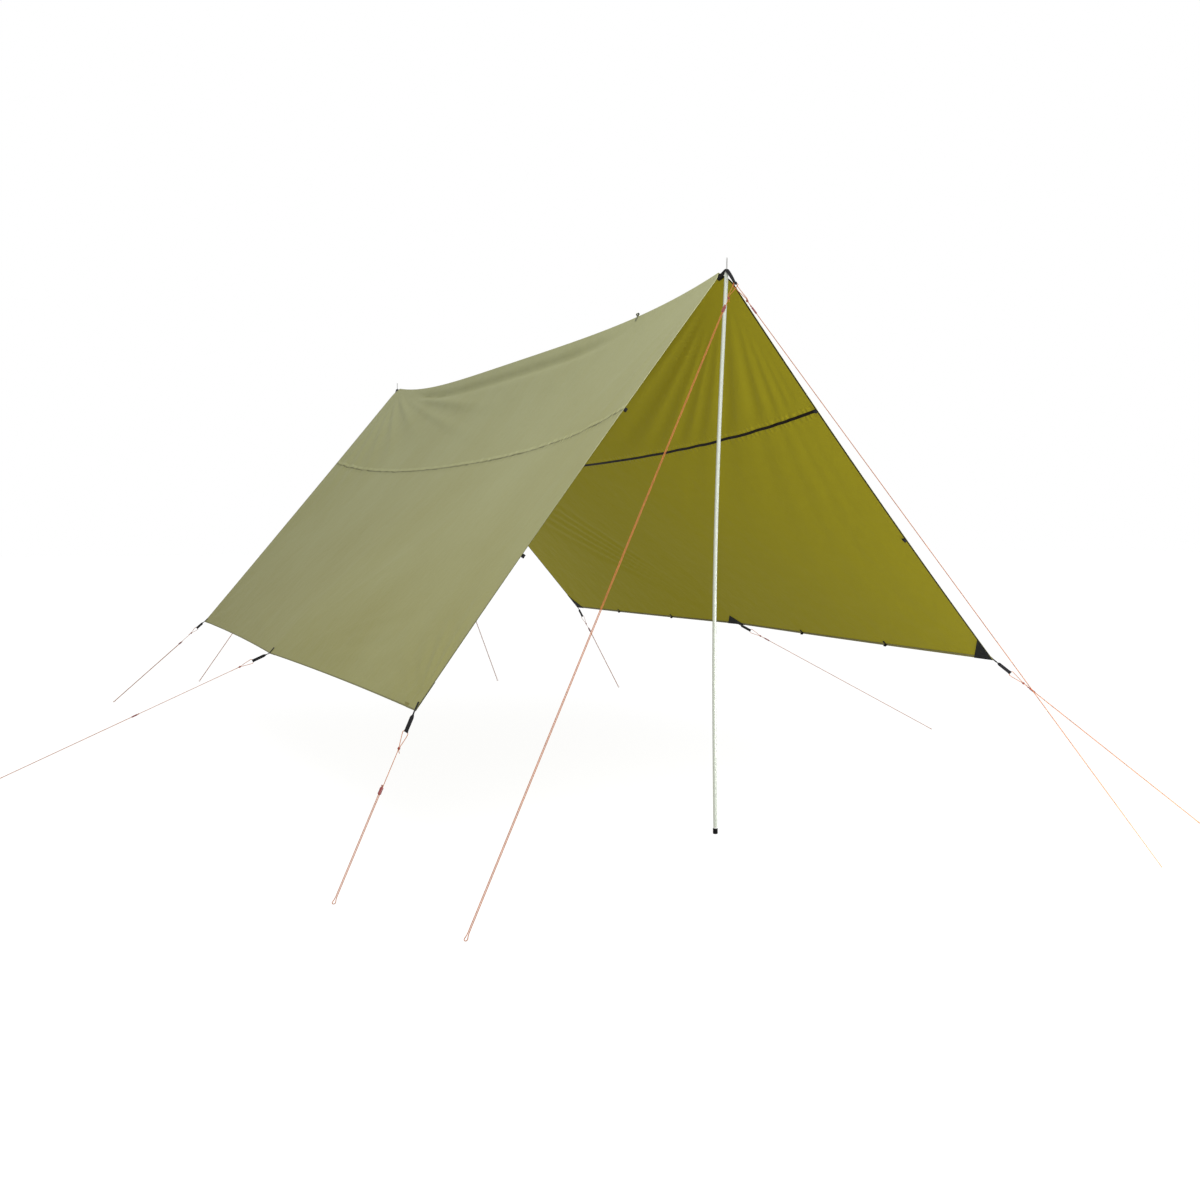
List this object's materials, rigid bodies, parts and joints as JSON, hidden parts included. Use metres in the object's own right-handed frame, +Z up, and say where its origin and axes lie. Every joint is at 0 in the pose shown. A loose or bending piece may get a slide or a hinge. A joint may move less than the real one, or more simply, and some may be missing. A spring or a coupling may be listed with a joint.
{
  "type": "camping tarp",
  "caption": "Ridge tarp of sewn cloth panels over two bowed poles, with webbing pull straps and guy lines that carry sliding runners.",
  "frame": {"origin": "on the ground under the middle of the ridge", "axes": "+Y along the ridge from the front pole to the rear pole, +X to the right as seen from the front, +Z up"},
  "size_m": [5.0245, 7.4859, 2.1792],
  "materials": {
    "olive_cloth": "woven polyester, olive, a little paler outside",
    "black_tape": "narrow woven tape",
    "olive_hem": "folded and stitched hem",
    "black_webbing": "woven webbing",
    "pale_alloy": "satin, pale silver grey",
    "grey_steel": "satin spike and plug",
    "black_rubber": "moulded foot",
    "orange_cord": "braided cord",
    "dark_red_plastic": "moulded"
  },
  "bodies": {
    "tarp": {"apex_patch_front": "black_webbing", "apex_patch_rear": "black_webbing", "apex_strap_front": "black_webbing", "apex_strap_rear": "black_webbing", "canopy_left_panel": "olive_cloth", "canopy_ridge_panel": "olive_cloth", "canopy_right_panel": "olive_cloth", "corner_patch_front_left": "black_webbing", "corner_patch_front_right": "black_webbing", "corner_patch_rear_left": "black_webbing", "corner_patch_rear_right": "black_webbing", "front_edge_tape": "black_tape", "guy_line_apex_front_left": "orange_cord", "guy_line_apex_front_right": "orange_cord", "guy_line_apex_rear_left": "orange_cord", "guy_line_apex_rear_right": "orange_cord", "guy_line_front_left": "orange_cord", "guy_line_front_right": "orange_cord", "guy_line_mid_left": "orange_cord", "guy_line_mid_right": "orange_cord", "guy_line_rear_left": "orange_cord", "guy_line_rear_right": "orange_cord", "left_hem": "olive_hem", "mid_patch_left": "black_webbing", "mid_patch_right": "black_webbing", "pull_strap_front_left": "black_webbing", "pull_strap_front_right": "black_webbing", "pull_strap_mid_left": "black_webbing", "pull_strap_mid_right": "black_webbing", "pull_strap_rear_left": "black_webbing", "pull_strap_rear_right": "black_webbing", "rear_edge_tape": "black_tape", "ridge_loop": "black_webbing", "right_hem": "olive_hem", "seam_tape_left": "black_tape", "seam_tape_right": "black_tape"},
    "front_pole": {"pole_front_foot": "black_rubber", "pole_front_section_1": "pale_alloy", "pole_front_section_2": "pale_alloy", "pole_front_section_3": "pale_alloy", "pole_front_spike": "grey_steel"},
    "rear_pole": {"pole_rear_foot": "black_rubber", "pole_rear_section_1": "pale_alloy", "pole_rear_section_2": "pale_alloy", "pole_rear_section_3": "pale_alloy", "pole_rear_spike": "grey_steel"},
    "apex_front_left_runner": {"runner_apex_front_left": "dark_red_plastic"},
    "apex_front_right_runner": {"runner_apex_front_right": "dark_red_plastic"},
    "apex_rear_left_runner": {"runner_apex_rear_left": "dark_red_plastic"},
    "apex_rear_right_runner": {"runner_apex_rear_right": "dark_red_plastic"},
    "front_left_runner": {"runner_front_left": "dark_red_plastic"},
    "front_right_runner": {"runner_front_right": "dark_red_plastic"},
    "mid_left_runner": {"runner_mid_left": "dark_red_plastic"},
    "mid_right_runner": {"runner_mid_right": "dark_red_plastic"},
    "rear_left_runner": {"runner_rear_left": "dark_red_plastic"},
    "rear_right_runner": {"runner_rear_right": "dark_red_plastic"}
  },
  "joints": [
    {"name": "front_pole_swing", "type": "hinge", "parent": "tarp", "child": "front_pole", "pos_m": [0, -2.27, 2.1392], "axis": [1, 0, 0], "range_deg": [-10, 10]},
    {"name": "rear_pole_swing", "type": "hinge", "parent": "tarp", "child": "rear_pole", "pos_m": [0, 2.27, 2.1192], "axis": [1, 0, 0], "range_deg": [-10, 10]},
    {"name": "apex_front_left_runner_slide", "type": "slide", "parent": "tarp", "child": "apex_front_left_runner", "axis": [-0.5093, -0.3138, -0.8014], "range_m": [0, 0.35]},
    {"name": "apex_front_right_runner_slide", "type": "slide", "parent": "tarp", "child": "apex_front_right_runner", "axis": [0.4518, -0.3763, -0.8089], "range_m": [0, 0.35]},
    {"name": "apex_rear_left_runner_slide", "type": "slide", "parent": "tarp", "child": "apex_rear_left_runner", "axis": [-0.3595, 0.624, -0.6938], "range_m": [0, 0.35]},
    {"name": "apex_rear_right_runner_slide", "type": "slide", "parent": "tarp", "child": "apex_rear_right_runner", "axis": [0.4266, 0.3845, -0.8186], "range_m": [0, 0.35]},
    {"name": "front_left_runner_slide", "type": "slide", "parent": "tarp", "child": "front_left_runner", "axis": [-0.49, -0.4507, -0.7462], "range_m": [0, 0.25]},
    {"name": "front_right_runner_slide", "type": "slide", "parent": "tarp", "child": "front_right_runner", "axis": [0.5385, -0.5788, -0.6123], "range_m": [0, 0.35]},
    {"name": "mid_left_runner_slide", "type": "slide", "parent": "tarp", "child": "mid_left_runner", "axis": [-0.8977, 0.1492, -0.4145], "range_m": [0, 0.35]},
    {"name": "mid_right_runner_slide", "type": "slide", "parent": "tarp", "child": "mid_right_runner", "axis": [0.8655, -0.1715, -0.4706], "range_m": [0, 0.35]},
    {"name": "rear_left_runner_slide", "type": "slide", "parent": "tarp", "child": "rear_left_runner", "axis": [-0.4311, 0.7419, -0.5136], "range_m": [0, 0.35]},
    {"name": "rear_right_runner_slide", "type": "slide", "parent": "tarp", "child": "rear_right_runner", "axis": [0.539, 0.2683, -0.7984], "range_m": [0, 0.35]}
  ]
}
